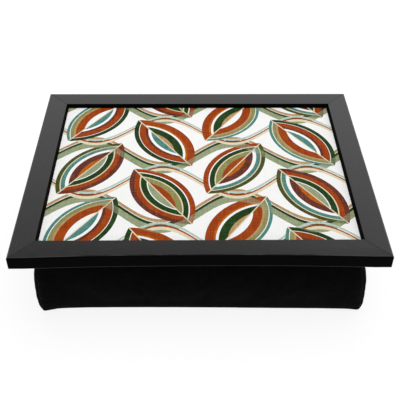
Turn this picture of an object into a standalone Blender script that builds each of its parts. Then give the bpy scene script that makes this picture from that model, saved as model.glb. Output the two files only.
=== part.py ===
"""Cushioned lap tray: a mitred wooden frame holds a printed board, and a bean-filled
cushion on its own board is glued beneath it.

Run with: blender --background --python part.py
Metres, +Z up, +X along the long side, the front rail faces -Y. The origin lies on the
surface that the tray stands on, under the middle of the frame.
"""
import math

import bmesh
import bpy
from mathutils import Matrix, Vector

# Frame, seen from above, and the section of its four rails
FRAME_WIDTH = 0.440
FRAME_DEPTH = 0.345
RAIL_HEIGHT = 0.018
RAIL_TOP_WIDTH = 0.0285
LIP_DEPTH = 0.0054
LIP_SLOPE_RUN = 0.0026
REBATE_INSET = 0.025
EDGE_RADIUS = 0.0022
EDGE_CHAMFER = 0.0010
EDGE_STEPS = 4

# Gaps: touching pieces, the mitred joints, and the boards inside the rebate
TOUCH_GAP = 0.0003
MITRE_GAP = 0.0003
BOARD_CLEARANCE = 0.0005
CUT_OVERRUN = 0.002

# Sheets that lie under the frame's lip
PRINT_THICKNESS = 0.0006
TRAY_BOARD_THICKNESS = 0.005
CUSHION_BOARD_THICKNESS = 0.003

# V nails that close each mitre from below
V_NAIL_STEEL = 0.0006
V_NAIL_HEIGHT = 0.010
V_NAIL_SPREAD = 0.008
V_NAIL_DEPTH = 0.0028
V_NAIL_RECESS = 0.0005
V_NAIL_PLACE_SHARES = (0.3, 0.7)

# Flat steel points driven into the rebate wall, which hold the tray board up
POINT_WIDTH = 0.006
POINT_THICKNESS = 0.0005
POINT_BITE = 0.007
POINT_REACH = 0.0065
POINT_TIP = 0.003
LONG_SIDE_POINT_SHARES = (-0.68, 0.0, 0.68)
SHORT_SIDE_POINT_SHARES = (-0.6, 0.6)

# Staples that fasten the cover's turned-in hem to the cushion board
STAPLE_WIRE = 0.0007
STAPLE_CROWN = 0.010
STAPLE_SKIN = 0.0010
LONG_SIDE_STAPLE_SHARES = (-0.78, -0.27, 0.27, 0.78)
SHORT_SIDE_STAPLE_SHARES = (-0.7, 0.0, 0.7)

# Beads of hot glue between the tray board and the cushion board
GLUE_WIDTH = 0.009
GLUE_LENGTH = 0.190
GLUE_PLACE_SHARES = (-0.78, -0.26, 0.26, 0.78)
GLUE_END_STEPS = 3

# Cushion: how far it drops below the frame, its cloth, and its form.
# Insets are measured inwards from the frame's outer faces.
CUSHION_DROP = 0.096
CLOTH_THICKNESS = 0.0010
HEM_WIDTH = 0.020
SEAM_GAP = 0.0009
TOP_CORNER_RADIUS = 0.005
BASE_CORNER_RADIUS = 0.002
CORNER_SWELL_RADIUS = 0.018
BASE_INSET_SIDES = 0.0210
BASE_INSET_FRONT = 0.0184
SIDE_BULGE = 0.0086
FRONT_BULGE = 0.0070
BASE_DRAW_IN = 0.0045
DRAW_IN_FLATNESS = 8
DRAW_IN_RISE = 3
SWELL_FLATNESS = 3
SWELL_SKEW = 1.8
WALL_LEVEL_SHARES = (0.0, 0.16, 0.32, 0.49, 0.66, 0.82, 0.93, 1.0)
CORNER_STEPS = 2
RUN_STEPS = 6
FILL_CLEARANCE = 0.0010

# Heights, from the surface the tray stands on
FRAME_UNDER = CUSHION_DROP
FRAME_TOP = FRAME_UNDER + RAIL_HEIGHT
REBATE_TOP = FRAME_TOP - LIP_DEPTH
PRINT_TOP = REBATE_TOP - TOUCH_GAP
TRAY_BOARD_TOP = PRINT_TOP - PRINT_THICKNESS - TOUCH_GAP
TRAY_BOARD_UNDER = TRAY_BOARD_TOP - TRAY_BOARD_THICKNESS
FASTENER_TOP = TRAY_BOARD_UNDER - TOUCH_GAP
HEM_TOP = FASTENER_TOP - max(STAPLE_WIRE, POINT_THICKNESS) - TOUCH_GAP
CUSHION_BOARD_TOP = HEM_TOP - CLOTH_THICKNESS - TOUCH_GAP
CUSHION_BOARD_UNDER = CUSHION_BOARD_TOP - CUSHION_BOARD_THICKNESS
FILL_TOP = CUSHION_BOARD_UNDER - TOUCH_GAP
BASE_SEAM = CLOTH_THICKNESS + TOUCH_GAP
STAPLE_LEG = FASTENER_TOP - STAPLE_WIRE - CUSHION_BOARD_UNDER - STAPLE_SKIN

# Half sizes of the rebate, of the boards in it, and of the cover where it folds
REBATE_HALF_WIDTH = FRAME_WIDTH / 2 - REBATE_INSET
REBATE_HALF_DEPTH = FRAME_DEPTH / 2 - REBATE_INSET
FOLD_HALF_WIDTH = REBATE_HALF_WIDTH - TOUCH_GAP
FOLD_HALF_DEPTH = REBATE_HALF_DEPTH - TOUCH_GAP
CLOTH_ALLOWANCE = CLOTH_THICKNESS + TOUCH_GAP
SHARP_ANGLE = math.radians(40)

# Each side: its name, its turn from the front, and whether it is a long one
SIDES = (
    ("front", 0.0, True),
    ("right", math.pi / 2, False),
    ("back", math.pi, True),
    ("left", -math.pi / 2, False),
)


def start_scene():
    """Clear the scene and return the collections for the parts and for the cutters."""
    for old in list(bpy.data.objects):
        bpy.data.objects.remove(old, do_unlink=True)
    collections = []
    for name in ("lap_tray", "cutters"):
        collection = bpy.data.collections.new(name)
        bpy.context.scene.collection.children.link(collection)
        collections.append(collection)
    return collections


def make_material(name, colour, roughness, metallic=0.0):
    """A Principled material of one colour."""
    material = bpy.data.materials.new(name)
    material.use_nodes = True
    shader = material.node_tree.nodes["Principled BSDF"]
    shader.inputs["Base Color"].default_value = (*colour, 1.0)
    shader.inputs["Roughness"].default_value = roughness
    shader.inputs["Metallic"].default_value = metallic
    return material


PARTS, CUTTERS = start_scene()
COLOURS = {
    "painted_wood": ((0.030, 0.030, 0.032), 0.42, 0.0),
    "printed_sheet": ((0.80, 0.78, 0.72), 0.45, 0.0),
    "fibreboard": ((0.42, 0.30, 0.19), 0.80, 0.0),
    "hardboard": ((0.24, 0.15, 0.09), 0.70, 0.0),
    "steel": ((0.60, 0.60, 0.62), 0.35, 1.0),
    "hot_glue": ((0.75, 0.70, 0.58), 0.40, 0.0),
    "black_cloth": ((0.008, 0.008, 0.009), 0.95, 0.0),
    "bead_filling": ((0.90, 0.90, 0.90), 0.90, 0.0),
}


def add_object(name, bm, collection):
    """Turn a bmesh into a named object."""
    mesh = bpy.data.meshes.new(name)
    bm.to_mesh(mesh)
    bm.free()
    item = bpy.data.objects.new(name, mesh)
    collection.objects.link(item)
    return item


def add_part(name, bm, finish):
    """Turn a bmesh into one named sub-part with a material of its own."""
    part = add_object(name, bm, PARTS)
    part.data.materials.append(make_material(name, *COLOURS[finish]))
    return part


def add_cutter(name, bm):
    """Turn a bmesh into a hidden cutting shape."""
    cutter = add_object(name, bm, CUTTERS)
    cutter.hide_render = True
    cutter.display_type = "WIRE"
    return cutter


def place(piece, turn, x=0.0, y=0.0, z=0.0):
    """Turn a piece about the tray's middle, with an offset that turns with it."""
    piece.location = Matrix.Rotation(turn, 3, "Z") @ Vector((x, y, z))
    piece.rotation_euler.z = turn


def cut(part, cutters):
    """Take the cutters out of a part."""
    for cutter in cutters:
        boolean = part.modifiers.new(cutter.name, "BOOLEAN")
        boolean.operation = "DIFFERENCE"
        boolean.solver = "EXACT"
        boolean.object = cutter


def shade_round(part):
    """Smooth shading, with the true edges kept."""
    part.data.shade_smooth()
    part.data.set_sharp_from_angle(angle=SHARP_ANGLE)


def add_block(bm, low, high):
    """A box between two corners."""
    low, high = Vector(low), Vector(high)
    matrix = Matrix.Translation((low + high) / 2) @ Matrix.Diagonal((*(high - low), 1.0))
    bmesh.ops.create_cube(bm, size=1.0, matrix=matrix)


def extrude_outline(points, along):
    """A bmesh with a flat outline pushed through one length."""
    bm = bmesh.new()
    face = bm.faces.new([bm.verts.new(point) for point in points])
    grown = bmesh.ops.extrude_face_region(bm, geom=[face])
    verts = [item for item in grown["geom"] if isinstance(item, bmesh.types.BMVert)]
    bmesh.ops.translate(bm, verts=verts, vec=along)
    bmesh.ops.recalc_face_normals(bm, faces=bm.faces)
    return bm


def half_sizes(is_long):
    """Half length of a side's frame rail, and its distance from the tray's middle."""
    if is_long:
        return FRAME_WIDTH / 2, FRAME_DEPTH / 2
    return FRAME_DEPTH / 2, FRAME_WIDTH / 2


def rail_section():
    """Points (inset, height) of a rail: rounded outer edge, flat top, lip and rebate."""
    points = []
    for step in range(EDGE_STEPS + 1):
        angle = math.pi / 2 * step / EDGE_STEPS
        inset = EDGE_RADIUS * (1 - math.cos(angle))
        points.append((inset, EDGE_RADIUS * (math.sin(angle) - 1)))
    points += [
        (RAIL_TOP_WIDTH, 0.0),
        (RAIL_TOP_WIDTH + LIP_SLOPE_RUN, -LIP_DEPTH),
        (REBATE_INSET, -LIP_DEPTH),
        (REBATE_INSET, -RAIL_HEIGHT),
        (EDGE_CHAMFER, -RAIL_HEIGHT),
        (0.0, EDGE_CHAMFER - RAIL_HEIGHT),
    ]
    return points


def make_rail(side, turn, is_long, cutters):
    """One length of moulding, sawn to a 45 degree mitre at both ends."""
    half_length, half_out = half_sizes(is_long)
    outline = [(-half_length, inset, height) for inset, height in rail_section()]
    bm = extrude_outline(outline, (2 * half_length, 0.0, 0.0))
    for end in (-1, 1):
        saw = bmesh.ops.bisect_plane(
            bm,
            geom=bm.verts[:] + bm.edges[:] + bm.faces[:],
            plane_co=(end * (half_length - MITRE_GAP / 2), 0.0, 0.0),
            plane_no=(end, 1.0, 0.0),
            clear_outer=True,
        )
        edges = [item for item in saw["geom_cut"] if isinstance(item, bmesh.types.BMEdge)]
        bmesh.ops.contextual_create(bm, geom=edges)
    bmesh.ops.recalc_face_normals(bm, faces=bm.faces)
    rail = add_part(side + "_rail", bm, "painted_wood")
    shade_round(rail)
    place(rail, turn, y=-half_out, z=FRAME_TOP)
    cut(rail, cutters)


def v_strip(overrun, low, high):
    """An upright V of sheet before it gets its thickness, with its legs run on further."""
    bm = bmesh.new()
    spread = V_NAIL_SPREAD / 2 + overrun
    rise = V_NAIL_DEPTH * spread / (V_NAIL_SPREAD / 2)
    plan = [(-spread, rise), (0.0, 0.0), (spread, rise)]
    lower = [bm.verts.new((x, y, low)) for x, y in plan]
    upper = [bm.verts.new((x, y, high)) for x, y in plan]
    for left in range(len(plan) - 1):
        bm.faces.new((lower[left], lower[left + 1], upper[left + 1], upper[left]))
    return bm


def thicken(piece, thickness, offset):
    """Give an open sheet its thickness: offset 0 on both sides, -1 behind its face."""
    solidify = piece.modifiers.new("thickness", "SOLIDIFY")
    solidify.thickness = thickness
    solidify.offset = offset
    solidify.use_even_offset = True


def make_v_nails():
    """Two V nails in each corner, and the slots that they drive into the rails."""
    low = FRAME_UNDER + V_NAIL_RECESS
    slots = {side: [] for side, _, _ in SIDES}
    for index, (side, _, _) in enumerate(SIDES):
        next_side = SIDES[(index + 1) % len(SIDES)][0]
        x_end = 1 if "right" in (side, next_side) else -1
        y_end = 1 if "back" in (side, next_side) else -1
        for number, share in enumerate(V_NAIL_PLACE_SHARES):
            name = f"v_nail_{side}_{next_side}_{number + 1}"
            x = x_end * (FRAME_WIDTH / 2 - share * REBATE_INSET)
            y = y_end * (FRAME_DEPTH / 2 - share * REBATE_INSET)
            turn = math.atan2(-y_end, -x_end) + math.pi / 2
            high = low + V_NAIL_HEIGHT
            nail = add_part(name, v_strip(0.0, low, high), "steel")
            slot = add_cutter(
                name + "_slot",
                v_strip(V_NAIL_STEEL, FRAME_UNDER - CUT_OVERRUN, high + TOUCH_GAP),
            )
            for piece, steel in ((nail, V_NAIL_STEEL), (slot, V_NAIL_STEEL + 2 * TOUCH_GAP)):
                piece.location = (x, y, 0.0)
                piece.rotation_euler.z = turn
                thicken(piece, steel, 0.0)
            slots[side].append(slot)
            slots[next_side].append(slot)
    return slots


def make_points(side, turn, is_long):
    """Flat steel points under the tray board, and their slots in the rail."""
    half_length, half_out = half_sizes(is_long)
    shares = LONG_SIDE_POINT_SHARES if is_long else SHORT_SIDE_POINT_SHARES
    wall = REBATE_INSET - half_out
    half_width = POINT_WIDTH / 2
    slots = []
    for number, share in enumerate(shares):
        x = share * (half_length - REBATE_INSET)
        outline = [
            (-half_width, POINT_REACH, 0.0),
            (-half_width, POINT_TIP - POINT_BITE, 0.0),
            (0.0, -POINT_BITE, 0.0),
            (half_width, POINT_TIP - POINT_BITE, 0.0),
            (half_width, POINT_REACH, 0.0),
        ]
        name = f"{side}_point_{number + 1}"
        point = add_part(name, extrude_outline(outline, (0.0, 0.0, -POINT_THICKNESS)), "steel")
        place(point, turn, x=x, y=wall, z=FASTENER_TOP)
        bm = bmesh.new()
        add_block(
            bm,
            (-half_width - TOUCH_GAP, -POINT_BITE - TOUCH_GAP, -POINT_THICKNESS - TOUCH_GAP),
            (half_width + TOUCH_GAP, CUT_OVERRUN, TOUCH_GAP),
        )
        slot = add_cutter(name + "_slot", bm)
        place(slot, turn, x=x, y=wall, z=FASTENER_TOP)
        slots.append(slot)
    return slots


def make_board(name, finish, top, thickness, half_width, half_depth, corner_radius=0.0):
    """A flat rectangular board, with its corners rounded where a radius is given."""
    bm = bmesh.new()
    add_block(bm, (-half_width, -half_depth, -thickness), (half_width, half_depth, 0.0))
    if corner_radius:
        upright = [edge for edge in bm.edges if edge.verts[0].co.xy == edge.verts[1].co.xy]
        bmesh.ops.bevel(
            bm, geom=upright, offset=corner_radius, segments=EDGE_STEPS, profile=0.5, affect="EDGES"
        )
    board = add_part(name, bm, finish)
    board.location.z = top
    return board


def make_staples(side, turn, is_long):
    """Staples along the hem, and the holes of their legs in hem and board."""
    fold_length, fold_out = fold_sizes(is_long)
    shares = LONG_SIDE_STAPLE_SHARES if is_long else SHORT_SIDE_STAPLE_SHARES
    half_crown = STAPLE_CROWN / 2
    half_wire = STAPLE_WIRE / 2
    foot = -STAPLE_WIRE - STAPLE_LEG
    holes = []
    for number, share in enumerate(shares):
        outline = [
            (-half_crown, -half_wire, 0.0),
            (half_crown, -half_wire, 0.0),
            (half_crown, -half_wire, foot),
            (half_crown - STAPLE_WIRE, -half_wire, foot),
            (half_crown - STAPLE_WIRE, -half_wire, -STAPLE_WIRE),
            (STAPLE_WIRE - half_crown, -half_wire, -STAPLE_WIRE),
            (STAPLE_WIRE - half_crown, -half_wire, foot),
            (-half_crown, -half_wire, foot),
        ]
        name = f"{side}_staple_{number + 1}"
        staple = add_part(name, extrude_outline(outline, (0.0, STAPLE_WIRE, 0.0)), "steel")
        bm = bmesh.new()
        for end in (-1, 1):
            middle = end * (half_crown - half_wire)
            reach = half_wire + TOUCH_GAP
            add_block(bm, (middle - reach, -reach, foot - TOUCH_GAP), (middle + reach, reach, 0.0))
        hole = add_cutter(name + "_holes", bm)
        for piece in (staple, hole):
            place(
                piece,
                turn,
                x=share * (fold_length - HEM_WIDTH),
                y=HEM_WIDTH / 2 - fold_out,
                z=FASTENER_TOP,
            )
        holes.append(hole)
    return holes


def fold_sizes(is_long):
    """Half length and distance out of the cover's fold over the cushion board's edge."""
    if is_long:
        return FOLD_HALF_WIDTH, FOLD_HALF_DEPTH
    return FOLD_HALF_DEPTH, FOLD_HALF_WIDTH


def wall_height(share):
    """Height of the cushion's wall: share 0 under the frame, 1 at the base seam."""
    return FRAME_UNDER + (BASE_SEAM - FRAME_UNDER) * share


def wall_outline(share):
    """Half width, half depth, corner radius and draw-in of the cushion at a wall share."""
    swell = 1 - abs(2 * share**SWELL_SKEW - 1) ** SWELL_FLATNESS
    base_width = FRAME_WIDTH / 2 - BASE_INSET_SIDES
    base_depth = FRAME_DEPTH / 2 - BASE_INSET_FRONT
    half_width = FOLD_HALF_WIDTH + (base_width - FOLD_HALF_WIDTH) * share + SIDE_BULGE * swell
    half_depth = FOLD_HALF_DEPTH + (base_depth - FOLD_HALF_DEPTH) * share + FRONT_BULGE * swell
    plain_radius = TOP_CORNER_RADIUS + (BASE_CORNER_RADIUS - TOP_CORNER_RADIUS) * share
    radius = plain_radius + CORNER_SWELL_RADIUS * swell
    return half_width, half_depth, radius, BASE_DRAW_IN * share**DRAW_IN_RISE


def side_run(half_length, half_out, radius, draw_in, end_gap):
    """Points of one side's outline, from the middle of one corner to the next.

    The front's own axes are used: x along the side and -y outwards.
    """
    reach = half_length - radius
    eighth = math.pi / 4
    run = []
    for step in range(CORNER_STEPS + 1):
        angle = eighth + eighth * step / CORNER_STEPS
        run.append((-reach - radius * math.cos(angle), half_out - radius * (1 - math.sin(angle))))
    for step in range(1, RUN_STEPS):
        across = math.sin(math.pi / 2 * (2 * step / RUN_STEPS - 1))
        run.append((reach * across, half_out))
    run += [(-x, out) for x, out in reversed(run[: CORNER_STEPS + 1])]
    corner = abs(run[0][0])
    points = []
    for x, out in run:
        pulled = out - draw_in * (1 - abs(x / corner) ** DRAW_IN_FLATNESS)
        points.append([x, -pulled])
    shift = end_gap / 2 * math.sin(eighth)
    for end, inwards in ((0, 1), (-1, -1)):
        points[end][0] += inwards * shift
        points[end][1] -= shift
    return points


def side_lengths(half_width, half_depth, is_long):
    """Half length of a side, and its distance out, for a rectangle of these half sizes."""
    return (half_width, half_depth) if is_long else (half_depth, half_width)


def make_panel(side, turn, is_long, holes):
    """One sewn wall of the cover, from its hem on the board down to the base seam."""
    fold_length, fold_out = fold_sizes(is_long)
    levels = [
        (fold_length - HEM_WIDTH, fold_out - HEM_WIDTH, TOP_CORNER_RADIUS, 0.0, HEM_TOP),
        (fold_length, fold_out, TOP_CORNER_RADIUS, 0.0, HEM_TOP),
    ]
    for share in WALL_LEVEL_SHARES:
        half_width, half_depth, radius, draw_in = wall_outline(share)
        lengths = side_lengths(half_width, half_depth, is_long)
        levels.append((*lengths, radius, draw_in, wall_height(share)))
    bm = bmesh.new()
    rows = []
    for half_length, half_out, radius, draw_in, height in levels:
        run = side_run(half_length, half_out, radius, draw_in, SEAM_GAP)
        rows.append([bm.verts.new((x, y, height)) for x, y in run])
    for upper, lower in zip(rows, rows[1:]):
        for left in range(len(upper) - 1):
            bm.faces.new((upper[left], lower[left], lower[left + 1], upper[left + 1]))
    panel = add_part(side + "_cushion_panel", bm, "black_cloth")
    shade_round(panel)
    thicken(panel, CLOTH_THICKNESS, -1.0)
    place(panel, turn)
    cut(panel, holes)


def ring(share, inset, height):
    """A closed outline of the cushion at a wall share, moved inwards, at a height."""
    half_width, half_depth, radius, draw_in = wall_outline(share)
    points = []
    for _, turn, is_long in SIDES:
        lengths = side_lengths(half_width - inset, half_depth - inset, is_long)
        spin = Matrix.Rotation(turn, 3, "Z")
        for x, y in side_run(*lengths, radius, draw_in, 0.0)[:-1]:
            points.append(spin @ Vector((x, y, height)))
    return points


def make_base_panel():
    """The cover's flat base, which the tray stands on."""
    bm = extrude_outline(ring(1.0, 0.0, 0.0), (0.0, 0.0, CLOTH_THICKNESS))
    add_part("base_cushion_panel", bm, "black_cloth")


def make_filling():
    """The loose beads, as the one body that they fill inside the cover."""
    inset = CLOTH_THICKNESS + FILL_CLEARANCE
    heights = [FILL_TOP] + [wall_height(share) for share in WALL_LEVEL_SHARES[1:]]
    bm = bmesh.new()
    rings = []
    for share, height in zip(WALL_LEVEL_SHARES, heights):
        rings.append([bm.verts.new(point) for point in ring(share, inset, height)])
    for upper, lower in zip(rings, rings[1:]):
        for left in range(len(upper)):
            right = (left + 1) % len(upper)
            bm.faces.new((upper[left], lower[left], lower[right], upper[right]))
    bm.faces.new(rings[0])
    bm.faces.new(rings[-1])
    bmesh.ops.recalc_face_normals(bm, faces=bm.faces)
    filling = add_part("bead_filling", bm, "bead_filling")
    shade_round(filling)


def make_glue_beads():
    """Beads of hot glue across the gap between the two boards, inside the hem."""
    top = TRAY_BOARD_UNDER - TOUCH_GAP
    height = top - CUSHION_BOARD_TOP - TOUCH_GAP
    reach = FOLD_HALF_WIDTH - HEM_WIDTH - GLUE_WIDTH
    radius = GLUE_WIDTH / 2
    straight = GLUE_LENGTH / 2 - radius
    for number, share in enumerate(GLUE_PLACE_SHARES):
        outline = []
        for end in (1, -1):
            for step in range(2 * GLUE_END_STEPS + 1):
                angle = math.pi / 2 * step / GLUE_END_STEPS
                x = end * radius * math.cos(angle)
                outline.append((x, end * (straight + radius * math.sin(angle)), 0.0))
        bead = add_part(
            f"glue_bead_{number + 1}", extrude_outline(outline, (0.0, 0.0, -height)), "hot_glue"
        )
        bead.location = (share * reach, 0.0, top)


def build_tray():
    """Make every sub-part of the tray."""
    slots = make_v_nails()
    board_holes = []
    for side, turn, is_long in SIDES:
        slots[side] += make_points(side, turn, is_long)
        make_rail(side, turn, is_long, slots[side])
        holes = make_staples(side, turn, is_long)
        make_panel(side, turn, is_long, holes)
        board_holes += holes
    board_half_width = REBATE_HALF_WIDTH - BOARD_CLEARANCE
    board_half_depth = REBATE_HALF_DEPTH - BOARD_CLEARANCE
    half_sizes_of_board = (board_half_width, board_half_depth)
    make_board("print_sheet", "printed_sheet", PRINT_TOP, PRINT_THICKNESS, *half_sizes_of_board)
    make_board(
        "tray_board", "fibreboard", TRAY_BOARD_TOP, TRAY_BOARD_THICKNESS, *half_sizes_of_board
    )
    make_glue_beads()
    cushion_board = make_board(
        "cushion_board",
        "hardboard",
        CUSHION_BOARD_TOP,
        CUSHION_BOARD_THICKNESS,
        FOLD_HALF_WIDTH - CLOTH_ALLOWANCE,
        FOLD_HALF_DEPTH - CLOTH_ALLOWANCE,
        TOP_CORNER_RADIUS - CLOTH_ALLOWANCE,
    )
    cut(cushion_board, board_holes)
    make_base_panel()
    make_filling()


build_tray()
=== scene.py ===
# %% [markdown]
# # A cushioned lap tray
# A flat printed board sits in a mitred black frame, over a cushion of loose beads. The packed
# model gives every piece at its real size and place. This lesson makes the surfaces that are seen.

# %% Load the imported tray
import math

import bmesh
import bpy
from mathutils import Matrix, Vector, noise


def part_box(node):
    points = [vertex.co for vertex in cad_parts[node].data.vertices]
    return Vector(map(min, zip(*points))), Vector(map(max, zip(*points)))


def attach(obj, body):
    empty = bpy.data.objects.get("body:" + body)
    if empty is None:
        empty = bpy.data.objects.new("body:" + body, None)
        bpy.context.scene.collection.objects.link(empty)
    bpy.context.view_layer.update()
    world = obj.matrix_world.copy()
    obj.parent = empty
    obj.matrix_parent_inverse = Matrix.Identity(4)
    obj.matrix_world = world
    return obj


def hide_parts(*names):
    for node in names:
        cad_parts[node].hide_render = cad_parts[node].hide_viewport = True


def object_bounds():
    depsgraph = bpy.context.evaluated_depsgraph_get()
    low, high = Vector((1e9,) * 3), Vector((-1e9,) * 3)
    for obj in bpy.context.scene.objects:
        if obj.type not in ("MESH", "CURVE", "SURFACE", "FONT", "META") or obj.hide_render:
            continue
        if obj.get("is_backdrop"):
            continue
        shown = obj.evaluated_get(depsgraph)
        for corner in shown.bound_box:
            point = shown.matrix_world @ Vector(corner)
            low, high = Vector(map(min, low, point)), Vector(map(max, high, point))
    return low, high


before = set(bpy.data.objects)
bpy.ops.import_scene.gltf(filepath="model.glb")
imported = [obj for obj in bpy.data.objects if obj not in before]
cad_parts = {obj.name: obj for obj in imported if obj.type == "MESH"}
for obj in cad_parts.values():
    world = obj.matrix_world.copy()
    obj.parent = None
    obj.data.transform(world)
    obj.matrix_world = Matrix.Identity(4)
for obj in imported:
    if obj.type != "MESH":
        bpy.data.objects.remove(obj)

cad_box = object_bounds()
tray_size = cad_box[1] - cad_box[0]


def mm(length):
    """A length in millimetres, for printing."""
    return round(1000 * length, 1)


print("tray", [mm(side) for side in tray_size], "mm,", len(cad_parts), "nodes")

# %% [markdown]
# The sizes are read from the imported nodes, so that new pieces fit the old ones. The few that a box
# cannot tell, such as the slope of the frame's lip, are written again with the same values.

# %% Sizes
HALF_WIDTH = tray_size.x / 2
HALF_DEPTH = tray_size.y / 2
FRAME_UNDER, FRAME_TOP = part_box("front_rail")[0].z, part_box("front_rail")[1].z
RAIL_HEIGHT = FRAME_TOP - FRAME_UNDER
RAIL_TOP_WIDTH = 0.0285
LIP_DEPTH = 0.0054
LIP_SLOPE_RUN = 0.0026
REBATE_INSET = 0.025
EDGE_RADIUS = 0.0022
EDGE_CHAMFER = 0.0010
FINE_EDGE = 0.00035
MITRE_GAP = 0.0003
SIDES = ("front", "right", "back", "left")
print("rail", mm(RAIL_HEIGHT), "mm high, top at", mm(FRAME_TOP), "mm")

# %% [markdown]
# ## Camera
# The camera stands in front of the tray and looks down on it. Its place, its three turns and its
# lens come from the photograph's perspective: the corners of a frame of known size fix them.

# %% Camera
CAMERA_PLACE = Vector((-0.01216, -0.74149, 0.57342 + FRAME_TOP))
CAMERA_YAW = math.radians(1.077)
CAMERA_PITCH = math.radians(40.608)
CAMERA_ROLL = math.radians(0.530)
LENS_IN_WIDTHS = 1.78058


def put_in_scene(name, data):
    """An object at the origin, linked to the scene."""
    thing = bpy.data.objects.new(name, data)
    bpy.context.scene.collection.objects.link(thing)
    return thing


ahead = Vector((math.sin(CAMERA_YAW), math.cos(CAMERA_YAW), -math.tan(CAMERA_PITCH)))
ahead.normalize()
right = Vector((math.cos(CAMERA_YAW), -math.sin(CAMERA_YAW), 0.0))
up = right.cross(ahead)
rolled_right = right * math.cos(CAMERA_ROLL) + up * math.sin(CAMERA_ROLL)
rolled_up = up * math.cos(CAMERA_ROLL) - right * math.sin(CAMERA_ROLL)
turn = Matrix((rolled_right, rolled_up, -ahead)).transposed().to_4x4()
camera = put_in_scene("camera", bpy.data.cameras.new("camera"))
camera.data.lens = LENS_IN_WIDTHS * camera.data.sensor_width
camera.matrix_world = Matrix.Translation(CAMERA_PLACE) @ turn
bpy.context.scene.camera = camera
print("lens", round(camera.data.lens, 2), "mm")

# %% [markdown]
# ## Shader maths
# A material is a small network of nodes. Wiring each Math node by hand hides the idea, so one
# small class wraps a socket and lets Python's own operators add the nodes: `1 - mask` becomes a
# Subtract.

# %% Sockets that can be added and multiplied
class Wire:
    """One socket of a node tree."""

    def __init__(self, finish, socket):
        self.finish = finish
        self.socket = socket

    def math(self, operation, *values):
        return self.finish.math(operation, self, *values)

    def __add__(self, other):
        return self.math("ADD", other)

    def __sub__(self, other):
        return self.math("SUBTRACT", other)

    def __rsub__(self, other):
        return self.finish.math("SUBTRACT", other, self)

    def __mul__(self, other):
        return self.math("MULTIPLY", other)

    def __truediv__(self, other):
        return self.math("DIVIDE", other)

    def __abs__(self):
        return self.math("ABSOLUTE")

    __radd__, __rmul__ = __add__, __mul__

# %% [markdown]
# `Finish` holds one material. Its `node` method makes any node from its type, its settings and the
# values or wires of its sockets. The other methods are short names for nodes that come up often.

# %% One material under construction
class Finish:
    """A material or a world, and short ways to add nodes to it."""

    def __init__(self, name, is_world=False):
        self.material = (bpy.data.worlds if is_world else bpy.data.materials).new(name)
        self.material.use_nodes = True
        self.tree = self.material.node_tree
        self.tree.nodes.clear()
        output = "ShaderNodeOutputWorld" if is_world else "ShaderNodeOutputMaterial"
        self.output = self.tree.nodes.new(output)

    def feed(self, socket, value):
        if isinstance(value, Wire):
            self.tree.links.new(value.socket, socket)
        elif isinstance(value, tuple):
            socket.default_value = (*value, 1.0)
        else:
            socket.default_value = value

    def node(self, kind, settings=None, values=None, out=0):
        made = self.tree.nodes.new(kind)
        for name, setting in (settings or {}).items():
            setattr(made, name, setting)
        for name, value in (values or {}).items():
            self.feed(made.inputs[name], value)
        return Wire(self, made.outputs[out])

    def math(self, operation, *values):
        return self.node("ShaderNodeMath", {"operation": operation}, dict(enumerate(values)))

    def smooth(self, value, low, high):
        """0 below low, 1 above high, with a soft step between."""
        ends = {"Value": value, "From Min": low, "From Max": high}
        return self.node("ShaderNodeMapRange", {"interpolation_type": "SMOOTHSTEP"}, ends)

    def blend(self, factor, first, second, mode="MIX"):
        """A colour between two colours."""
        settings = {"data_type": "RGBA", "blend_type": mode}
        return self.node("ShaderNodeMix", settings, {0: factor, 6: first, 7: second}, out=2)

    def grey(self, level):
        return self.node("ShaderNodeCombineColor", values={0: level, 1: level, 2: level})

    def split(self, vector):
        """The X, Y and Z of a vector, as three wires."""
        outputs = self.node("ShaderNodeSeparateXYZ", values={0: vector}).socket.node.outputs
        return [Wire(self, output) for output in outputs]

    def point(self, out=3):
        """The point on the object. Output 0 gives a world's direction instead."""
        return self.node("ShaderNodeTexCoord", out=out)

    def vector(self, x, y, z):
        return self.node("ShaderNodeCombineXYZ", values={0: x, 1: y, 2: z})

    def noise(self, vector, scale, detail=2.0, roughness=0.5):
        values = {"Vector": vector, "Scale": scale, "Detail": detail, "Roughness": roughness}
        return self.node("ShaderNodeTexNoise", values=values)

    def surface(self, colour, roughness, height, relief, **others):
        """A Principled surface with a bump. Other sockets are named with _ for each space."""
        bump = self.node("ShaderNodeBump", values={"Height": height, "Distance": relief})
        values = {"Base Color": colour, "Roughness": roughness, "Normal": bump}
        values.update({name.replace("_", " "): value for name, value in others.items()})
        return self.node("ShaderNodeBsdfPrincipled", values=values)

    def done(self, surface):
        self.tree.links.new(surface.socket, self.output.inputs["Surface"])
        return self.material


def shade(red, green, blue):
    """A screen colour as the linear light that a shader wants."""
    parts = [level / 255 for level in (red, green, blue)]
    return tuple(
        part / 12.92 if part <= 0.04045 else ((part + 0.055) / 1.055) ** 2.4 for part in parts
    )


print("a mid grey of 128 is", round(shade(128, 128, 128)[0], 3), "in linear light")

# %% [markdown]
# ## Floor, backdrop and light
# The tray stands on a white floor in a white studio. Floor and world are white to the camera
# through Is Camera Ray, and not because of more light, so the tray keeps its own level. Other rays
# see white walls, brighter on the right as beside a window, under a darker ceiling. Black paint
# mirrors them: the back rail shows the walls, and the front rail, seen more steeply, the ceiling.

# %% Floor and world
FLOOR_REACH = 30.0
FLOOR_DROP = 0.0004
FLOOR_GLOW = 0.86
FLOOR_SHADE = 0.20
FLOOR_BOUNCE = 0.40
CEILING_START, CEILING_END = 0.56, 0.71
CEILING_DARK = 0.66
WINDOW_SIDE = 0.50
RAY_KINDS = ("Camera", "Glossy", "Transmission", "Diffuse")


def put_mesh(name, bm):
    """A bmesh as an object in the scene. The bmesh is freed."""
    mesh = bpy.data.meshes.new(name)
    bm.to_mesh(mesh)
    bm.free()
    return put_in_scene(name, mesh)


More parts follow.
